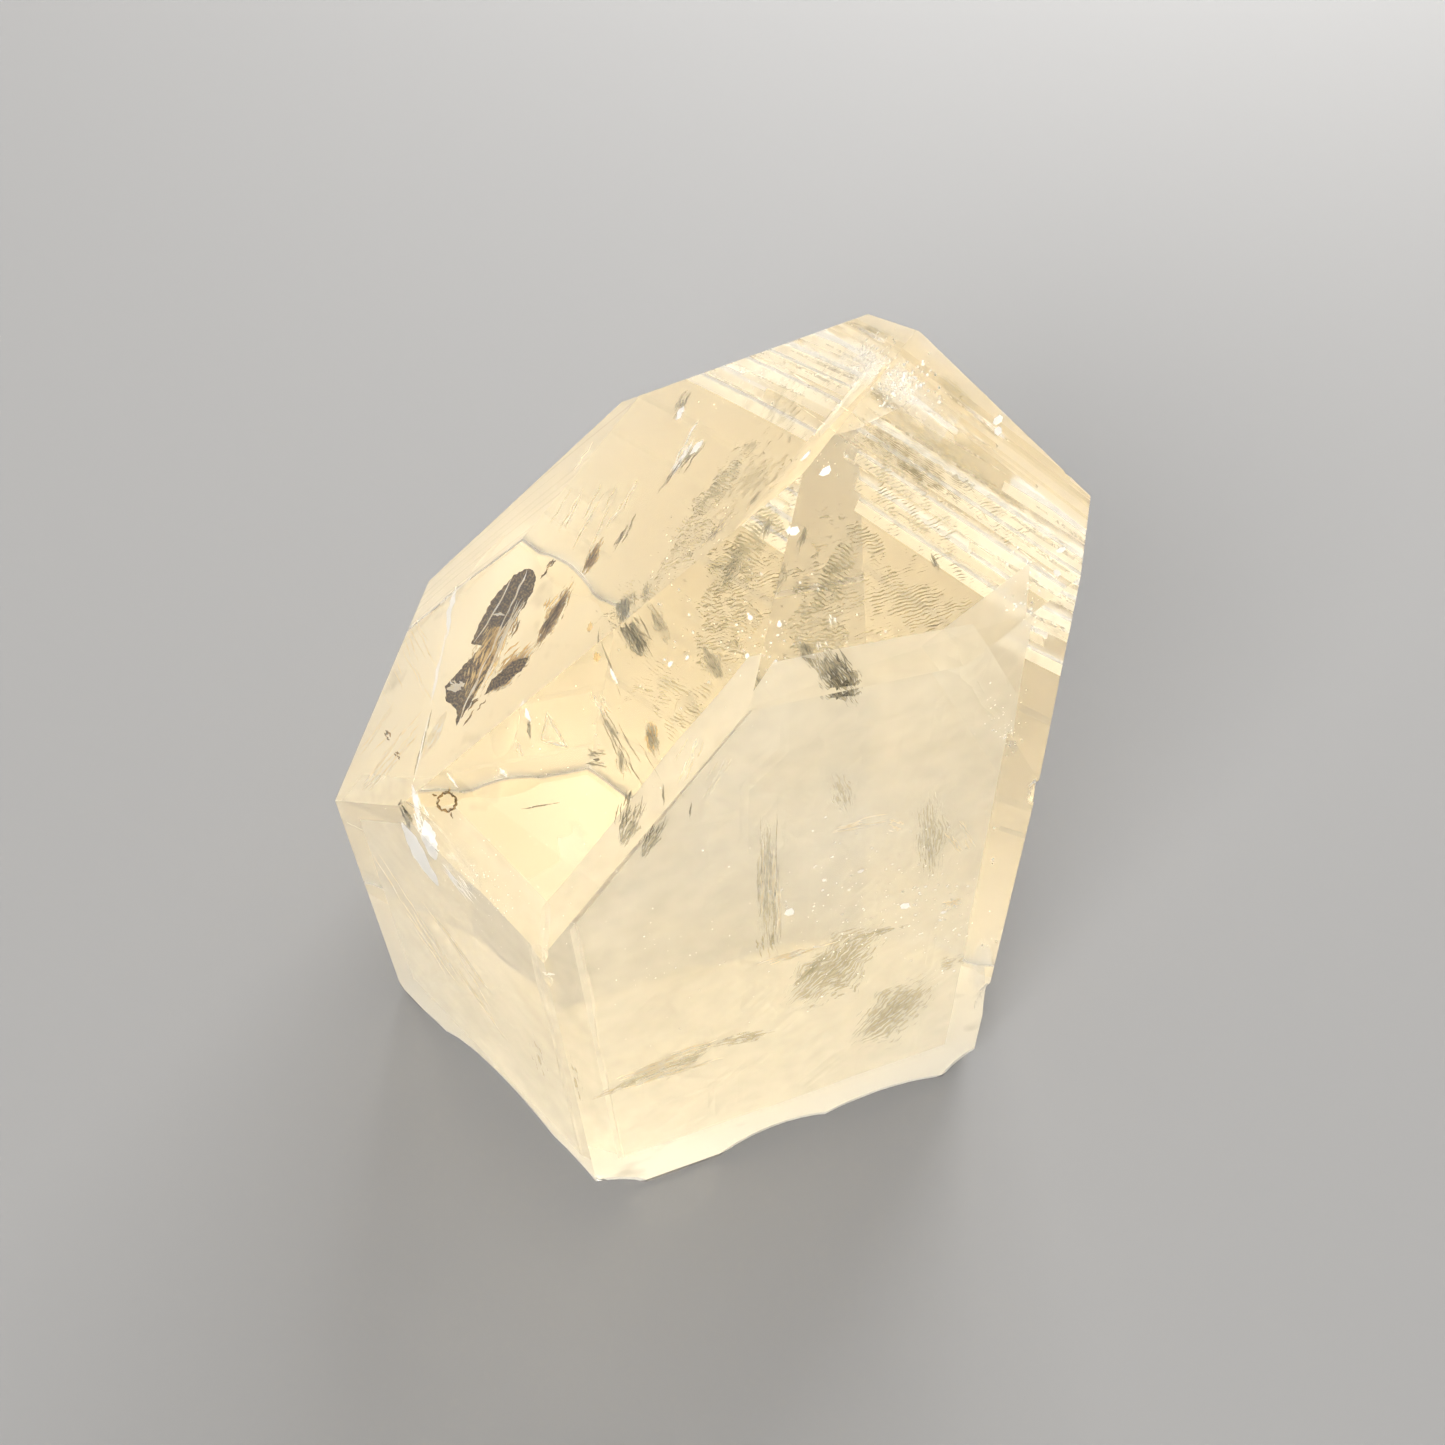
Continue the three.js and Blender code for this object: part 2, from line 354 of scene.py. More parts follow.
bm = bmesh.new()
bm.from_mesh(point.data)
bm.transform(point.matrix_world)
bmesh.ops.remove_doubles(bm, verts=bm.verts, dist=WELD)
bmesh.ops.dissolve_limit(bm, angle_limit=FLAT_WITHIN, verts=bm.verts, edges=bm.edges)
bmesh.ops.recalc_face_normals(bm, faces=bm.faces)
outside = BVHTree.FromBMesh(bm)
skin = bm.copy()
big_faces = [(f.normal.copy(), f.calc_center_median()) for f in bm.faces if f.calc_area() > BIG_FACE]
long_edges = [
    e
    for e in bm.edges
    if e.is_manifold and e.calc_length() > LONG_EDGE and e.calc_face_angle() > SHARP_EDGE
]
bmesh.ops.bevel(
    bm,
    geom=long_edges,
    offset=EDGE_BEVEL,
    segments=2,
    profile=0.5,
    affect="EDGES",
    material=-1,
    clamp_overlap=True,
)
bmesh.ops.recalc_face_normals(bm, faces=bm.faces)
layer = bm.faces.layers.float.new("coarse")
for face in bm.faces:
    face[layer] = coarseness(face.normal)
stone = new_piece("crystal", bm, quartz)
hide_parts("quartz_point")
print(len(big_faces), "big faces,", len(long_edges), "long edges bevelled")

# %% [markdown]
# ## Phantom and frosted base
# A phantom is the same point at a younger stage, with a dust of milky specks that settled on its faces. It is
# a flat sheet under each of the two prism faces at the front, cut where it would meet the others. The ground
# base scatters light back into the stone. Its frost is a copy of its faces, shrunk to lie just inside.

# %% Phantom
PHANTOM_DEPTH = 3.5 * MM  # how far the faces were still to grow
PHANTOM_MARGIN = 3.2 * MM  # from its edge to the other faces
PHANTOM_WOBBLE, WOBBLE_SIZE = 0.4 * MM, 6 * MM
SHEET_REACH, SHEET_CELLS = 45 * MM, 40
NEAR_SKIN, LEAST_COVER = 1 * MM, 0.05 * MM  # a point near the skin needs this much quartz over it


def add_face_sheet(bm, normal, middle):
    """The phantom's sheet under one big face, cut a margin inside the others."""
    sheet = bmesh.new()
    bmesh.ops.create_grid(sheet, x_segments=SHEET_CELLS, y_segments=SHEET_CELLS, size=SHEET_REACH)
    turn = normal.to_track_quat("Z", "Y").to_matrix().to_4x4()
    place = Matrix.Translation(middle - normal * PHANTOM_DEPTH) @ turn
    bmesh.ops.transform(sheet, matrix=place, verts=sheet.verts)
    for other, other_middle in big_faces:
        if other is not normal:
            bmesh.ops.bisect_plane(
                sheet,
                geom=sheet.verts[:] + sheet.edges[:] + sheet.faces[:],
                plane_co=other_middle - other * PHANTOM_MARGIN,
                plane_no=other,
                clear_outer=True,
            )
    fade = sheet.verts.layers.float.new("fade")
    exposed = []
    for vert in sheet.verts:
        vert.co += normal * PHANTOM_WOBBLE * noise.noise(vert.co / WOBBLE_SIZE)
        near, near_normal, _, distance = outside.find_nearest(vert.co)
        vert[fade] = 1
        if distance < NEAR_SKIN and (near - vert.co).dot(near_normal) < LEAST_COVER:
            exposed.append(vert)
    bmesh.ops.delete(sheet, geom=exposed, context="VERTS")
    part = bpy.data.meshes.new("sheet")
    sheet.to_mesh(part)
    sheet.free()
    bm.from_mesh(part)
    bpy.data.meshes.remove(part)


def in_front(normal):
    """Whether a face is one of the prism faces at the front."""
    return normal.z < 0.4 and normal.y < -0.5


bm = bmesh.new()
bm.verts.layers.float.new("fade")
for normal, middle in big_faces:
    if in_front(normal):
        add_face_sheet(bm, normal, middle)
new_piece("phantoms", bm, milk)

# %% Frosted base
SKIN_INSET = 0.3 * MM
MOST_SHIFT = 2  # a point at a sharp corner moves at most this many insets
FROST_STRENGTH = 0.85
shifts = [vert.normal * min(vert.calc_shell_factor(), MOST_SHIFT) * SKIN_INSET for vert in skin.verts]
frosting = skin.faces.layers.float.new("fade")
clear = []
for face in skin.faces:
    face[frosting] = FROST_STRENGTH
    if coarseness(face.normal) != SAWN:
        clear.append(face)
for vert, shift in zip(skin.verts, shifts):
    vert.co -= shift
bmesh.ops.delete(skin, geom=clear, context="FACES")
new_piece("frosted_skin", skin, frost)

# %% [markdown]
# ## Flaws
# A flaw is placed along the camera's line of sight, bent where it enters the stone, at a given depth. A large
# depth puts it on the far wall. Three shapes make them all: a sliver, which tapers to both ends, a plate with
# an outline of its own, and a tiny flat flake. A hatch is a band of thin slivers.

# %% Sight lines
NEAR_WALL, FAR_WALL = 0.2 * MM, 1.0 * MM  # how much quartz a flaw keeps before and behind it
STEP_IN = 0.01 * MM  # a first step into the stone, clear of the face that was hit
DEEP = 99.0  # in mm, deeper than the stone is thick
MM_PER_PIXEL = 0.07  # about what a pixel of the picture spans on the stone


def sight(u, v):
    """Where the sight line through (u, v) enters the stone, its way inside, and how thick the stone is."""
    straight = LOOK.to_3x3() @ Vector((u - PICTURE / 2, PICTURE / 2 - v, -FOCAL)).normalized()
    hit, normal, _, _ = outside.ray_cast(EYE, straight)
    if hit is None:
        return None
    cosine = -straight.dot(normal)
    ratio = 1 / QUARTZ_IOR
    inward = ratio * straight + (ratio * cosine - math.sqrt(1 - ratio**2 * (1 - cosine**2))) * normal
    thickness = outside.ray_cast(hit + inward * STEP_IN, inward)[3]
    return hit, inward, thickness


def seen_at(u, v, depth):
    """The place in the stone that is seen at (u, v), so many millimetres behind the surface, or None."""
    line = sight(u, v)
    if line is None:
        return None
    hit, inward, thickness = line
    return hit + inward * max(NEAR_WALL, min(depth * MM, thickness - FAR_WALL))


# %% Flaw shapes
SLIVER_ROWS = 4  # rows of points across a sliver
SLIVER_FULLNESS = 0.7  # below 1, a sliver keeps its width nearer to its ends
TIP = 0.01  # the share of its length that a sliver's blunt tip takes
SLIVER_BOW = 2.5  # how far a sliver bends aside, in pixels
RAG_ALONG, RAG_ACROSS, BOW_ALONG = 7, 1.5, 3  # noise waves over a sliver, for its rag and its bow
RAG_SHIFT, BOW_SHIFT, BOW_ROW = 3.7, 1.9, 5.0  # each seed reads another stretch of the noise
HATCH_SEEDS = 50  # seeds kept for the slivers of one hatch
PLATE_STEP, PLATE_RAG = 3, 4  # pixels between a plate's outline points, and from rag to rag
GRAIN_DOWN, GRAIN_ASIDE = 0.8, 0.6  # a plate's grain runs down the picture and aside
GLINT_TILT, SPECK_TILT = 0.25, 0.6  # how far a flake leans away from the sight line
GLINT_RAG = 0.25  # how far its corners stray, as a share of its radius
SPECK_SPREAD = 1.6  # of a cluster's width to the spread of its dice


def flaw_bmesh():
    """An empty bmesh whose vertices know how strongly they show, and their place along the flaw's grain."""
    bm = bmesh.new()
    bm.verts.layers.float.new("fade")
    bm.verts.layers.float_vector.new("grain")
    return bm


class Sliver(NamedTuple):
    """A flaw that tapers to both ends, seen from start to end in pixels of the picture."""

    start: tuple
    end: tuple
    width: float  # in pixels, at its middle
    depth: float | tuple  # in mm behind the surface, or the depths at start and end
    seed: int
    ragged: float = 0.5
    steps: int = 14  # rows of points along it
    soft: bool = False  # whether it thins out to its sides and ends
    strength: float = 1.0


def hatch(start, end, spread, count, width, depth, seed):
    """So many thin parallel slivers, seen within a band from start to end."""
    dice = random.Random(seed)
    a, b = Vector(start), Vector(end)
    side = (b - a).orthogonal().normalized() * spread / 2
    slivers = []
    for number in range(count):
        shift = side * dice.uniform(-1, 1)
        first = a.lerp(b, dice.uniform(0, 0.5)) + shift
        last = first + (b - a) * dice.uniform(0.25, 0.5) + side * dice.uniform(-0.15, 0.15)
        thick = width * dice.uniform(0.5, 1.3)
        slivers.append(Sliver(first, last, thick, depth, seed * HATCH_SEEDS + number, ragged=0.8, steps=7))
    return slivers


def add_sliver(bm, flaw):
    """A sliver's sheet, with its strength as its fade and its own lengthwise grain."""
    fade, grain = bm.verts.layers.float["fade"], bm.verts.layers.float_vector["grain"]
    a, b = Vector(flaw.start), Vector(flaw.end)
    side = (b - a).orthogonal().normalized()
    near, far = flaw.depth if isinstance(flaw.depth, tuple) else (flaw.depth, flaw.depth)
    missed = []
    for vert in bmesh.ops.create_grid(bm, x_segments=flaw.steps, y_segments=SLIVER_ROWS, size=1)["verts"]:
        along = (vert.co.x + 1) / 2
        across = vert.co.y
        swell = math.sin(math.pi * min(max(along, TIP), 1 - TIP)) ** SLIVER_FULLNESS
        rag = 1 + flaw.ragged * noise.noise(Vector((along * RAG_ALONG, across * RAG_ACROSS, flaw.seed * RAG_SHIFT)))
        bow = SLIVER_BOW * flaw.ragged * noise.noise(Vector((along * BOW_ALONG, BOW_ROW, flaw.seed * BOW_SHIFT)))
        place = a.lerp(b, along) + side * (across * swell * rag * flaw.width / 2 + bow)
        vert[fade] = flaw.strength * ((1 - across**2) * swell if flaw.soft else 1)
        reach = Vector((along * (b - a).length, across * flaw.width / 2, 0)) * MM_PER_PIXEL
        vert[grain] = reach + Vector((0, 0, flaw.seed))
        spot = seen_at(place.x, place.y, near + (far - near) * along)
        if spot is None:
            missed.append(vert)
        else:
            vert.co = spot
    bmesh.ops.delete(bm, geom=missed, context="VERTS")


def draw(name, material, slivers):
    """A piece made of slivers."""
    bm = flaw_bmesh()
    for flaw in slivers:
        add_sliver(bm, flaw)
    return new_piece(name, bm, material)


def add_plate(bm, outline, depth, seed, ragged=1.5, lean=0.012):
    """A flat flaw with a ragged outline in the picture, deeper by lean millimetres per pixel down it."""
    fade, grain = bm.verts.layers.float["fade"], bm.verts.layers.float_vector["grain"]
    corners = [Vector(corner) for corner in outline]
    verts = []
    for first, last in zip(corners, corners[1:] + corners[:1]):
        parts = max(1, round((last - first).length / PLATE_STEP))
        for part in range(parts):
            place = first.lerp(last, part / parts)
            jitter = noise.noise_vector(Vector((place.x / PLATE_RAG, place.y / PLATE_RAG, seed))) * ragged
            u, v = place.x + jitter.x, place.y + jitter.y
            vert = bm.verts.new(seen_at(u, v, depth + lean * (v - corners[0].y)))
            vert[fade] = 1.0
            vert[grain] = Vector(
                (GRAIN_DOWN * v - GRAIN_ASIDE * u, GRAIN_DOWN * u + GRAIN_ASIDE * v, 0)
            ) * MM_PER_PIXEL
            verts.append(vert)
    face = bm.faces.new(verts)
    bmesh.ops.triangulate(bm, faces=[face])


def add_glint(bm, u, v, radius, depth, dice, tilt=GLINT_TILT):
    """A tiny flat flake that faces the sight line, but for a little tilt. Its radius is in millimetres."""
    line = sight(u, v)
    if line is None:
        return
    fade = bm.verts.layers.float["fade"]
    facing = (-line[1] + Vector([dice.uniform(-tilt, tilt) for _ in range(3)])).to_track_quat("Z", "Y")
    lie = Matrix.Translation(seen_at(u, v, depth)) @ facing.to_matrix().to_4x4()
    turn = Matrix.Rotation(dice.uniform(0, math.tau), 4, "Z")
    stretch = Matrix.Diagonal((1, dice.uniform(0.5, 1), 1, 1))
    flake = bmesh.ops.create_circle(
        bm, segments=6, radius=radius * MM, cap_ends=True, matrix=lie @ turn @ stretch
    )
    for vert in flake["verts"]:
        vert[fade] = 1.0
        vert.co += (line[0] - vert.co).orthogonal().normalized() * dice.uniform(0, GLINT_RAG) * radius * MM


def add_specks(bm, middle, spread, count, size, depths, seed):
    """Tiny flakes strewn about a place of the picture, with sizes in mm."""
    dice = random.Random(seed)
    for _ in range(count):
        u = dice.gauss(middle[0], spread[0] / SPECK_SPREAD)
        v = dice.gauss(middle[1], spread[1] / SPECK_SPREAD)
        add_glint(bm, u, v, size * dice.uniform(0.25, 1) ** 1.5, dice.uniform(*depths), dice, tilt=SPECK_TILT)


# %% [markdown]
# The large stained fracture is a stack of dark iron-covered plates with clean quartz between them, which
# shows as thin cream veins. Two smaller lenses of the same kind follow it to the right, and amber strokes
# surround them all.

# %% Stained plates
UPPER_DEPTH, LOWER_DEPTH = 2.6, 3.4  # in mm
UPPER_PLATE = [
    (526, 568),
    (533, 570),
    (536, 577),
    (533, 592),
    (520, 608),
    (507, 625),
    (502, 640),
    (494, 657),
    (484, 679),
    (475, 696),
    (456, 726),
    (457, 710),
    (446, 701),
    (445, 686),
    (454, 677),
    (467, 662),
    (483, 646),
    (471, 644),
    (479, 625),
    (494, 597),
    (512, 577),
]
LOWER_PLATE = [(484, 695), (490, 682), (502, 670), (516, 660), (530, 656), (521, 671), (506, 683)]
bm = flaw_bmesh()
add_plate(bm, UPPER_PLATE, UPPER_DEPTH, seed=1)
add_plate(bm, LOWER_PLATE, LOWER_DEPTH, seed=2)
new_piece("stained_plates", bm, iron)

# %% Rust strokes
RUST_STROKES = [
    Sliver((602, 537), (580, 578), 15, 3.8, seed=3, soft=True),
    Sliver((577, 574), (528, 660), 18, 3.6, seed=4, soft=True),
    *hatch((556, 560), (538, 584), 6, 4, 2, 3, seed=5),
    Sliver((524, 650), (488, 700), 18, 3.6, seed=7, soft=True),
    *hatch((574, 582), (532, 652), 10, 6, 2.0, 3.4, seed=6),
    *hatch((526, 594), (504, 644), 10, 8, 1.6, 2.7, seed=8),
    *hatch((484, 692), (458, 724), 16, 9, 1.6, 3.0, seed=10),
    *hatch((382, 730), (392, 745), 8, 4, 2, 0.8, seed=9),
    *hatch((396, 750), (402, 762), 6, 4, 2, 0.8, seed=19),
]
RING_MIDDLE, RING_RADIUS, RING_PARTS = Vector((447, 802)), 10, 9
RING_STEP, RING_PART = 0.7, 0.9  # radians from part to part, and what a part spans


def on_ring(angle):
    """A place on the small rust ring, in pixels of the picture."""
    return RING_MIDDLE + Vector((math.cos(angle), math.sin(angle))) * RING_RADIUS


for part in range(RING_PARTS):
    turned = part * RING_STEP
    RUST_STROKES.append(Sliver(on_ring(turned), on_ring(turned + RING_PART), 3, 1.2, seed=300 + part))
RING_SPURS = [
    Sliver((437, 796), (432, 794), 2, 1.2, seed=310),
    Sliver((448, 793), (450, 787), 2, 1.2, seed=311),
    Sliver((451, 812), (453, 819), 2, 1.2, seed=312),
]
draw("rust_strokes", rust, RUST_STROKES + RING_SPURS)

# %% Amber strokes
AMBER_STROKES = [
    Sliver((528, 566), (454, 730), 44, 3.3, seed=11, soft=True, strength=0.85),
    Sliver((540, 638), (484, 700), 26, 3.7, seed=12, soft=True),
    Sliver((580, 570), (528, 660), 22, 3.9, seed=13, soft=True, strength=0.9),
    Sliver((606, 534), (580, 580), 16, 4.1, seed=14, soft=True, strength=0.9),
    Sliver((652, 716), (652, 760), 20, 4, seed=15, soft=True),
    Sliver((550, 596), (544, 612), 8, 4, seed=16, soft=True),
    Sliver((592, 620), (588, 634), 8, 4, seed=17, soft=True),
    *hatch((530, 640), (482, 690), 16, 9, 1.6, 3.3, seed=18),
]
draw("amber_strokes", amber, AMBER_STROKES)

# %% Cream veins
CREAM_VEINS = [
    Sliver((527, 569), (508, 614), 1.8, 2.4, seed=201, ragged=1),
    Sliver((510, 604), (486, 662), 1.8, 2.4, seed=202, ragged=1),
    Sliver((518, 600), (478, 696), 2.4, 2.4, seed=203, ragged=1),
    Sliver((490, 652), (455, 728), 2.0, 2.4, seed=204, ragged=1),
    Sliver((516, 573), (474, 644), 1.4, 2.4, seed=205, ragged=1),
    Sliver((492, 614), (505, 615), 3, 2.4, seed=206, ragged=1),
    Sliver((447, 690), (465, 684), 7, 2.4, seed=207, ragged=1),
    *hatch((452, 676), (466, 692), 14, 9, 1.6, 2.4, seed=208),
    *hatch((524, 596), (480, 670), 8, 9, 1.0, 2.4, seed=209),
]
draw("cream_veins", vein, CREAM_VEINS)

# %% [markdown]
# Smaller cracks are clean. Where air got in they are white and bright. Those down the left ridge are a
# painted highlight of its bevel, and the glare of a bruise on the shoulder is a painted highlight too.

# %% Air films and painted highlights
AIR_FILMS_AND_HIGHLIGHTS = [
    # The first three lie down the left ridge's bevel and the next three on the shoulder: painted highlights.
    Sliver((456, 586), (445, 640), 5, 0.7, seed=21, ragged=1),
    Sliver((445, 634), (431, 706), 2.5, 0.7, seed=22, ragged=1.2),
    Sliver((430, 712), (413, 782), 1.4, 0.6, seed=23),
    Sliver((402, 822), (438, 886), 12, 0.5, seed=25, ragged=0.6),
    Sliver((424, 820), (436, 860), 13, 0.5, seed=26, ragged=0.6),
    Sliver((412, 784), (420, 822), 5, 0.5, seed=27),
    Sliver((447, 773), (458, 788), 2, 1, seed=28),
    Sliver((500, 768), (507, 777), 3, 1, seed=29),
    Sliver((526, 708), (530, 722), 4, 1.4, seed=34),
    Sliver((684, 406), (676, 420), 5, 1.4, seed=35),
    Sliver((703, 440), (690, 455), 5, 1.6, seed=36),
    Sliver((610, 668), (617, 684), 3, 1.6, seed=37),
    *hatch((700, 420), (655, 500), 10, 6, 1.3, 2, seed=38),
    *hatch((822, 640), (826, 660), 12, 7, 1.4, 5, seed=40),
    *hatch((828, 612), (836, 630), 8, 5, 1.6, 5, seed=41),
    *hatch((413, 790), (433, 850), 18, 8, 1.3, 0.5, seed=42),
    *hatch((440, 860), (480, 910), 10, 12, 1.2, 0.4, seed=43),
]
draw("air_films_and_highlights", film_and_glint, AIR_FILMS_AND_HIGHLIGHTS)

# %% Pale cracks
PALE_CRACKS = [
    Sliver((447, 712), (422, 758), 9, 1.0, seed=24),
    Sliver((546, 712), (567, 748), 3, 1.4, seed=30),
    Sliver((541, 740), (568, 747), 3, 1.4, seed=31),
    Sliver((547, 712), (541, 741), 2, 1.4, seed=32),
    *hatch((593, 690), (612, 726), 16, 7, 1.3, 3, seed=39),
    *hatch((516, 735), (523, 760), 7, 6, 1.3, 1.4, seed=33),
    *hatch((385, 620), (430, 730), 60, 14, 1.3, 1.2, seed=44),
    *hatch((620, 450), (560, 560), 60, 10, 1.3, 4, seed=45),
    *hatch((700, 735), (676, 786), 26, 8, 1.4, 4, seed=46),
    *hatch((375, 850), (470, 1000), 10, 6, 1.3, 0.8, seed=47),
    *hatch((400, 900), (520, 1070), 50, 8, 1.3, 1.5, seed=48),
    *hatch((756, 968), (855, 934), 6, 8, 1.8, 1.05, seed=49),
    *hatch((828, 830), (894, 815), 8, 8, 1.8, 1.09, seed=50),
    *hatch((936, 907), (964, 900), 10, 9, 2.2, 1.05, seed=51),
    *hatch((952, 826), (975, 857), 20, 10, 2.2, 1.09, seed=52),
    *hatch((886, 826), (905, 828), 14, 8, 2.2, 1.09, seed=53),
    *hatch((770, 830), (772, 950), 18, 14, 1.6, 1.05, seed=54),
    *hatch((595, 1092), (760, 1035), 26, 14, 1.8, 1.01, seed=55),
    *hatch((350, 792), (434, 686), 36, 18, 1.8, 0.9, seed=56),
    *hatch((470, 470), (560, 430), 40, 8, 1.6, 2, seed=57),
]
draw("pale_cracks", vein, PALE_CRACKS)

# %% Ledge highlights
FIRST_LINE_SEED = 40
# Bright strips along the growth ledges of the back skin: painted highlights of light catching the ledges.
LEDGE_HIGHLIGHTS = [  # start, end and width, in pixels
    ((836, 432), (970, 519), 3.8),
    ((848, 411), (976, 489), 4.5),
    ((865, 406), (1001, 494), 3.4),
    ((870, 390), (1006, 474), 3),
    ((886, 386), (998, 452), 2.6),
    ((844, 457), (894, 487), 3.8),
    ((894, 511), (931, 533), 3.8),
    ((756, 374), (807, 398), 3.4),
    ((778, 357), (841, 388), 3.8),
    ((790, 350), (856, 380), 3.4),
    ((824, 343), (875, 370), 3),
    ((848, 323), (894, 348), 3),
]
draw(
    "ledge_highlights",
    ledge_highlight,
    [
        Sliver(start, end, width, DEEP, seed=FIRST_LINE_SEED + order, ragged=0.4, steps=40)
        for order, (start, end, width) in enumerate(LEDGE_HIGHLIGHTS)
    ],
)

# %% [markdown]
# The grown skin at the back is etched with tiny ripples. Their dark colour is painted shade, seen through the clear
# back skin, and darkest between the painted ledge highlights.

# %% Etched patches and painted shade
ETCHED_SHADE_PATCHES = [
    Sliver((840, 420), (972, 508), 26, DEEP, seed=61, soft=True),
    Sliver((836, 410), (1006, 500), 80, DEEP, seed=60, soft=True, strength=0.7),
    Sliver((862, 384), (909, 416), 22, DEEP, seed=63, soft=True),
    Sliver((932, 372), (980, 414), 22, DEEP, seed=64, soft=True),
    Sliver((772, 508), (712, 596), 54, 14, seed=65, soft=True),
    Sliver((842, 524), (892, 558), 32, 14, seed=66, soft=True),
    Sliver((872, 570), (948, 638), 64, 14, seed=67, soft=True),
    Sliver((840, 430), (980, 580), 110, 14, seed=68, soft=True, strength=0.6),
    Sliver((680, 550), (880, 710), 170, 14, seed=69, soft=True, strength=0.6),
    Sliver((620, 640), (760, 780), 100, 14, seed=71, soft=True, strength=0.5),
    Sliver((760, 480), (920, 680), 160, 14, seed=72, soft=True, strength=0.5),
    Sliver((900, 550), (1010, 660), 100, 14, seed=73, soft=True, strength=0.55),
    Sliver((930, 440), (1040, 560), 60, 14, seed=74, soft=True, strength=0.45),
]
draw("etched_shade_patches", etched_shade, ETCHED_SHADE_PATCHES)

# %% Smoky strokes
SMOKY_STROKES = [
    Sliver((614, 600), (656, 668), 40, (4, 6), seed=81, soft=True),
    Sliver((644, 592), (672, 652), 24, (4, 6), seed=82, soft=True, strength=0.95),
    Sliver((698, 634), (730, 696), 28, (4, 6), seed=83, soft=True),
    Sliver((796, 632), (820, 676), 24, (3, 4), seed=84, soft=True, strength=1.1),
    Sliver((812, 640), (862, 712), 48, (2.5, 3.5), seed=85, soft=True, strength=1.15),
    *hatch((820, 650), (850, 700), 34, 12, 2, 3, seed=121),
    *hatch((620, 606), (652, 664), 30, 10, 2, 5, seed=122),
    Sliver((772, 508), (760, 550), 16, 5, seed=86, soft=True),
    Sliver((750, 540), (714, 596), 30, 6, seed=87, soft=True, strength=0.9),
    Sliver((930, 550), (940, 576), 13, 5, seed=88, soft=True),
    Sliver((528, 718), (530, 740), 3.5, 1.5, seed=89),
    Sliver((695, 380), (668, 428), 16, 2, seed=90, soft=True, strength=0.95),
    *hatch((706, 432), (652, 508), 12, 7, 1.5, 2, seed=91),
    *hatch((640, 510), (612, 560), 10, 6, 1.5, 2, seed=92),
    Sliver((602, 642), (621, 697), 2, 3, seed=93),
    Sliver((619, 738), (623, 784), 18, 3, seed=94, soft=True),
    Sliver((644, 712), (660, 766), 22, 3, seed=95, soft=True),
    Sliver((648, 790), (614, 862), 28, 3, seed=96, soft=True),
    *hatch((586, 757), (612, 760), 18, 12, 2, 3, seed=97),
    *hatch((634, 786), (622, 842), 24, 12, 2, 3, seed=112),
    *hatch((606, 700), (650, 790), 40, 10, 1.6, 3, seed=111),
    Sliver((521, 809), (560, 802), 1.5, 1.5, seed=98),
    Sliver((663, 783), (664, 806), 2, 4, seed=99),
    Sliver((401, 803), (410, 830), 5, 0.8, seed=100),
]
draw("smoky_strokes", smoke, SMOKY_STROKES)

# %% Olive streaks
# Dark olive streaks about a millimetre behind the front faces, low on the stone.
OLIVE_STREAKS = [
    Sliver((766, 796), (768, 972), 36, 1.17, seed=101, soft=True, strength=1.1),
    *hatch((768, 806), (768, 962), 22, 10, 2, 1.17, seed=113),
    *hatch((765, 930), (770, 964), 24, 12, 2, 1.17, seed=114),
    Sliver((928, 774), (934, 900), 60, 1.17, seed=102, soft=True),
    Sliver((770, 1020), (900, 914), 84, 1.09, seed=103, soft=True, strength=1.1),
    Sliver((838, 1056), (948, 966), 70, 1.13, seed=104, soft=True, strength=1.1),
    Sliver((570, 1110), (714, 1044), 18, 1.09, seed=105, soft=True, strength=1.1),
    Sliver((660, 1084), (722, 1034), 16, 1.09, seed=115, soft=True, strength=1.1),
    Sliver((700, 1048), (786, 1028), 18, 1.09, seed=106, soft=True, strength=1.1),
    Sliver((784, 994), (842, 942), 14, 1.05, seed=107, soft=True, strength=1.2),
    Sliver((830, 944), (920, 922), 10, 1.05, seed=116, soft=True, strength=1.1),
    Sliver((828, 760), (854, 826), 44, 1.17, seed=108, soft=True, strength=0.95),
    Sliver((930, 972), (975, 952), 26, 1.05, seed=117, soft=True, strength=0.9),
    Sliver((432, 709), (414, 775), 3, 0.8, seed=109),
    Sliver((526, 1020), (552, 1096), 24, 3, seed=110, soft=True, strength=0.8),
]
draw("olive_streaks", olive, OLIVE_STREAKS)

# %% [markdown]
# Healed cracks leave clouds of tiny flat hollows, which glint like sparks. The flakes face the sight line,
# and their white is a painted glint.

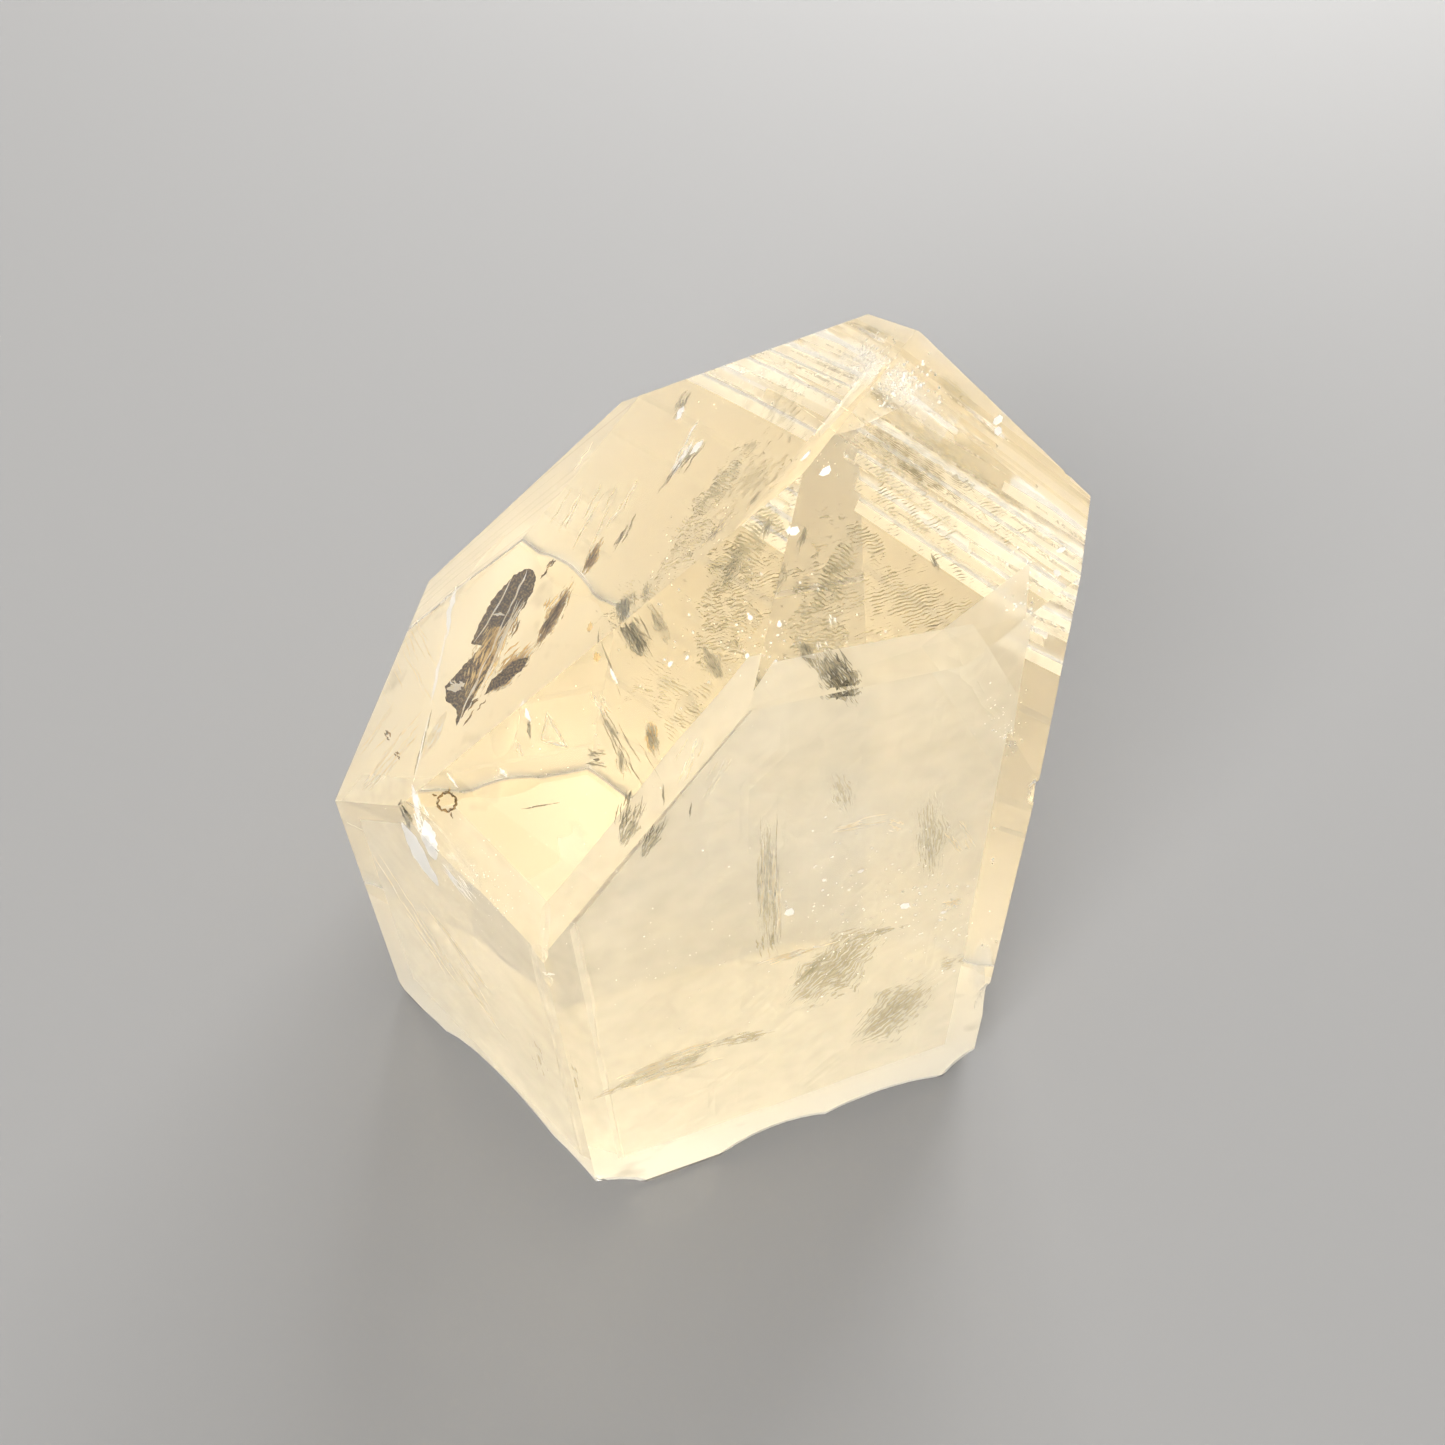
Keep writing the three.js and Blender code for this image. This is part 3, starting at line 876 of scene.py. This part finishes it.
# %% Sparks
GLINT_SEED = 7
GLINTS = [  # place in pixels, radius and depth in mm
    (794, 531, 0.3, 0.3),
    (826, 471, 0.36, 2),
    (998, 420, 0.34, 0.8),
    (998, 431, 0.3, 0.8),
    (905, 906, 0.4, 1.1),
    (790, 912, 0.42, 1.1),
    (687, 658, 0.16, 3),
    (670, 664, 0.22, 3),
    (750, 618, 0.16, 4),
    (747, 656, 0.16, 4),
    (846, 694, 0.2, 5),
    (1061, 550, 0.3, 1),
    (1057, 573, 0.25, 1),
    (502, 772, 0.2, 1),
    (861, 871, 0.22, 1.1),
    (825, 880, 0.22, 1.1),
    (944, 912, 0.25, 1.1),
]
SPECKS = [  # middle and spread in pixels, how many, size and depths in mm, seed
    ((880, 870), (100, 50), 140, 0.12, (0.5, 1.6), 1),
    ((1025, 590), (20, 30), 60, 0.12, (1, 6), 2),
    ((1005, 720), (20, 30), 60, 0.1, (1, 6), 3),
    ((900, 384), (26, 18), 160, 0.11, (2, 6), 4),
    ((760, 640), (110, 70), 110, 0.1, (2, 12), 5),
    ((470, 900), (50, 25), 120, 0.06, (0.3, 1), 6),
    ((740, 380), (40, 25), 90, 0.1, (1, 6), 7),
    ((560, 820), (110, 110), 120, 0.06, (0.6, 8), 8),
    ((480, 880), (30, 50), 80, 0.06, (0.4, 2), 9),
    ((850, 930), (70, 45), 120, 0.1, (0.5, 1.2), 10),
    ((945, 925), (30, 35), 70, 0.12, (0.5, 1.2), 11),
    ((680, 960), (90, 60), 70, 0.07, (0.5, 1.2), 12),
]
bm = flaw_bmesh()
dice = random.Random(GLINT_SEED)
for u, v, radius, depth in GLINTS:
    add_glint(bm, u, v, radius, depth, dice)
for cluster in SPECKS:
    add_specks(bm, *cluster)
new_piece("sparks", bm, film_and_glint)

# %% Soft glows
SOFT_GLOWS = [
    Sliver((620, 900), (1010, 780), 200, 0.78, seed=128, soft=True),
    Sliver((862, 364), (935, 404), 60, 7, seed=122, soft=True),
    Sliver((862, 364), (935, 404), 40, 5, seed=123, soft=True),
    Sliver((983, 936), (986, 1008), 36, 0.6, seed=124, soft=True),
    Sliver((983, 940), (986, 1003), 30, 0.48, seed=129, soft=True),
    Sliver((540, 940), (660, 880), 90, 8, seed=125, soft=True),
    Sliver((440, 830), (480, 900), 40, 3, seed=126, soft=True),
]
draw("soft_glows", haze, SOFT_GLOWS)

# %% [markdown]
# ## Floor and light
# A plain pale floor, an even bright room and three soft lamps: a large one behind at the right, one low behind
# the stone that fills it with light, and one high in front. Glass shows what surrounds it, so the room itself
# does most of the lighting.

# %% Floor and light
FLOOR_HALF, FLOOR_DROP = 1.5, 0.05 * MM  # half its side in metres, and how far it lies under the stone
ROOM_COLOR, ROOM_LIGHT = (1, 0.99, 0.97, 1), 0.85
STONE_MIDDLE = Vector((0, 0, 0.03))
BOUNCES, CLEAR_BOUNCES = 12, 24
bm = bmesh.new()
bmesh.ops.create_grid(bm, x_segments=1, y_segments=1, size=FLOOR_HALF)
bmesh.ops.translate(bm, verts=bm.verts, vec=(0, 0, -FLOOR_DROP))
floor_mesh = bpy.data.meshes.new("floor")
bm.to_mesh(floor_mesh)
bm.free()
floor = bpy.data.objects.new("floor", floor_mesh)
bpy.context.collection.objects.link(floor)
pale, _, _ = plain_material("Pale floor", (0.175, 0.172, 0.168), 0.9)
floor_mesh.materials.append(pale)

world = bpy.data.worlds.new("Studio")
bpy.context.scene.world = world
world.use_nodes = True
world.node_tree.nodes["Background"].inputs["Color"].default_value = ROOM_COLOR
world.node_tree.nodes["Background"].inputs["Strength"].default_value = ROOM_LIGHT


def softbox(name, place, size, power):
    """A square area lamp that looks at the stone."""
    lamp = bpy.data.lights.new(name, "AREA")
    lamp.size = size
    lamp.energy = power
    box = bpy.data.objects.new(name, lamp)
    box.visible_camera = False
    box.location = place
    box.rotation_euler = (STONE_MIDDLE - Vector(place)).to_track_quat("-Z", "Y").to_euler()
    bpy.context.collection.objects.link(box)


softbox("Key", (0.35, 0.55, 0.6), 0.7, 2)
softbox("Low back", (0.1, 0.4, 0.14), 0.3, 5)
softbox("High front", (-0.25, -0.5, 0.5), 0.35, 7)
bpy.context.scene.view_settings.view_transform = "Standard"
cycles = bpy.context.scene.cycles
cycles.max_bounces = BOUNCES
cycles.glossy_bounces = BOUNCES
cycles.transmission_bounces = BOUNCES
cycles.transparent_max_bounces = CLEAR_BOUNCES
